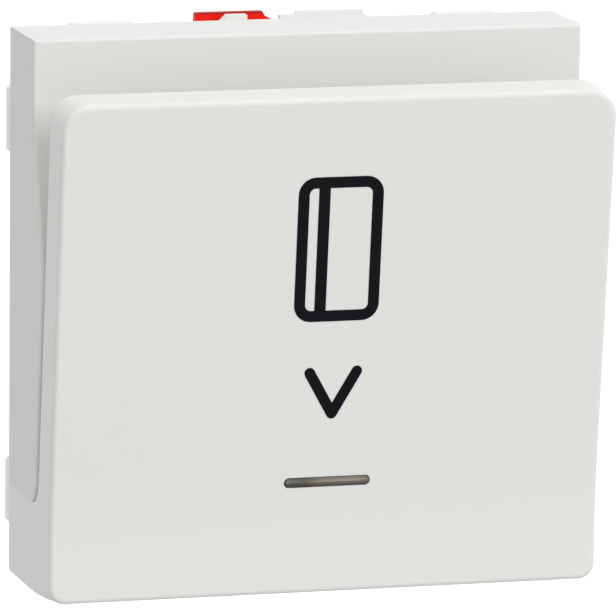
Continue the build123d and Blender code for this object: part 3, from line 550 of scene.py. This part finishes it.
def rounded_loop(left, right, bottom, top, radius):
    """The points of a rectangle with round corners, anticlockwise from the right."""
    centres = [
        (right - radius, top - radius),
        (left + radius, top - radius),
        (left + radius, bottom + radius),
        (right - radius, bottom + radius),
    ]
    points = []
    for quarter, centre in enumerate(centres):
        points += arc(centre, radius, quarter * pi / 2, (quarter + 1) * pi / 2)
    return points


def stroke_loop(start, tip, end, width):
    """The outline of a line that bends left, round at its ends and outside its bend."""
    half = width / 2
    first = Vector(tip) - Vector(start)
    second = Vector(end) - Vector(tip)
    # The angles that point to the left of the line, before and after its bend
    first_side = atan2(first.x, -first.y)
    second_side = atan2(second.x, -second.y)
    middle = (first_side + second_side) / 2
    reach = half / cos((second_side - first_side) / 2)
    inside = (tip[0] + reach * cos(middle), tip[1] + reach * sin(middle))
    return [
        inside,
        *arc(end, half, second_side, second_side - pi),
        *arc(tip, half, second_side - pi, first_side - pi),
        *arc(start, half, first_side + pi, first_side),
    ]


def add_object(name, data):
    """A new object in the scene."""
    added = bpy.data.objects.new(name, data)
    bpy.context.scene.collection.objects.link(added)
    return added


def join_loops(shape, first, second):
    """A closed band of faces between two loops of equally many points."""
    for i in range(len(first)):
        j = (i + 1) % len(first)
        shape.faces.new((first[i], first[j], second[j], second[i]))


def ink_piece(name, ink, outer, inner=None):
    """A thin printed layer between an outer loop and an inner loop, or a filled loop."""
    shape = bmesh.new()
    loops = [outer] if inner is None else [outer, inner]
    layers = []
    for lift in (-INK_HEIGHT, INK_HEIGHT):
        layers.append([[shape.verts.new(on_face(x, z, lift)) for x, z in loop] for loop in loops])
    for loop_low, loop_high in zip(*layers):
        join_loops(shape, loop_low, loop_high)
    for layer in layers:
        if inner is None:
            shape.faces.new(layer[0])
        else:
            join_loops(shape, *layer)
    bmesh.ops.recalc_face_normals(shape, faces=shape.faces)
    mesh = bpy.data.meshes.new(name)
    shape.to_mesh(mesh)
    shape.free()
    mesh.materials.append(ink)
    piece = add_object(name, mesh)
    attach(piece, HOUSING)


def print_signs():
    """The card with its stripe, and the chevron below it."""
    ink = printed_ink()
    low = CARD_BOTTOM + CARD_STROKE
    high = CARD_TOP - CARD_STROKE
    left = CARD_LEFT + CARD_STROKE
    right = CARD_RIGHT - CARD_STROKE
    outer = rounded_loop(CARD_LEFT, CARD_RIGHT, CARD_BOTTOM, CARD_TOP, CARD_RADIUS)
    inner = rounded_loop(left, right, low, high, CARD_RADIUS - CARD_STROKE)
    ink_piece("card_outline", ink, outer, inner)
    stripe_left = STRIPE_X - STRIPE_WIDTH / 2
    stripe_right = STRIPE_X + STRIPE_WIDTH / 2
    stripe = [(stripe_left, low), (stripe_right, low), (stripe_right, high), (stripe_left, high)]
    ink_piece("card_stripe", ink, stripe)
    chevron = stroke_loop(CHEVRON_LEFT, CHEVRON_TIP, CHEVRON_RIGHT, CHEVRON_WIDTH)
    ink_piece("down_chevron", ink, chevron)


# Camera, floor, world and lamps
def make_camera():
    """The camera of the photograph."""
    data = bpy.data.cameras.new("camera")
    data.sensor_width = SENSOR_WIDTH
    data.sensor_fit = "HORIZONTAL"
    data.lens = FOCAL_PIXELS * SENSOR_WIDTH / IMAGE_WIDTH
    data.clip_start = NEAREST_SEEN
    data.clip_end = FARTHEST_SEEN
    camera = add_object("camera", data)
    backward = CAMERA_RIGHT.cross(CAMERA_UP)
    turn = Matrix((CAMERA_RIGHT, CAMERA_UP, backward)).transposed()
    camera.matrix_world = Matrix.Translation(CAMERA_PLACE) @ turn.to_4x4()
    bpy.context.scene.camera = camera


def ray_is_one_of(tree, rays):
    """One for the kinds of light ray that are named, and zero for the others."""
    path = tree.nodes.new("ShaderNodeLightPath")
    found = path.outputs[rays[0]]
    for ray in rays[1:]:
        found = calculate(tree, "MAXIMUM", found, path.outputs[ray])
    return found


def make_floor():
    """A floor that glows to the camera and to reflections, and is darker in the object's shadow."""
    half = FLOOR_WIDTH / 2
    z = cad_box[0][2] - FLOOR_DROP
    corners = [(-half, -half, z), (half, -half, z), (half, half, z), (-half, half, z)]
    mesh = bpy.data.meshes.new("floor")
    mesh.from_pydata(corners, [], [(0, 1, 2, 3)])
    material = bpy.data.materials.new("pale_floor")
    tree, shader = nodes_of(material)
    seen = ray_is_one_of(tree, ["Is Camera Ray", "Is Glossy Ray"])
    shader.inputs["Base Color"].default_value = (*grey(FLOOR_GREY), 1)
    shader.inputs["Roughness"].default_value = FLOOR_ROUGHNESS
    shader.inputs["Emission Color"].default_value = (1, 1, 1, 1)
    feed(tree, shader.inputs["Emission Strength"], calculate(tree, "MULTIPLY", seen, FLOOR_GLOW))
    mesh.materials.append(material)
    return add_object("floor", mesh)


def background(tree, strength):
    """White light of one strength from all sides."""
    light = tree.nodes.new("ShaderNodeBackground")
    light.inputs["Color"].default_value = (1, 1, 1, 1)
    light.inputs["Strength"].default_value = strength
    return light.outputs["Background"]


def make_world():
    """A world that is white to the camera, reflections and transmission, and softer as light."""
    world = bpy.data.worlds.new("world")
    bpy.context.scene.world = world
    world.use_nodes = True
    tree = world.node_tree
    tree.nodes.clear()
    output = tree.nodes.new("ShaderNodeOutputWorld")
    chosen = tree.nodes.new("ShaderNodeMixShader")
    seen = ray_is_one_of(tree, ["Is Camera Ray", "Is Glossy Ray", "Is Transmission Ray"])
    tree.links.new(seen, chosen.inputs["Fac"])
    tree.links.new(background(tree, WORLD_LIGHT), chosen.inputs[1])
    tree.links.new(background(tree, WORLD_SEEN), chosen.inputs[2])
    tree.links.new(chosen.outputs["Shader"], output.inputs["Surface"])


def make_lamps():
    """Square area lamps that face one point."""
    for name, (place, power) in LAMPS.items():
        data = bpy.data.lights.new(name, "AREA")
        data.shape = "SQUARE"
        data.size = LAMP_WIDTH
        data.energy = power
        lamp = add_object(name, data)
        lamp.location = place
        aim = Vector(LAMP_AIM) - Vector(place)
        lamp.rotation_euler = aim.to_track_quat("-Z", "Y").to_euler()


dress_pieces()
print_signs()
make_camera()
floor = make_floor()
make_world()
make_lamps()
bpy.context.scene.view_settings.view_transform = "Standard"
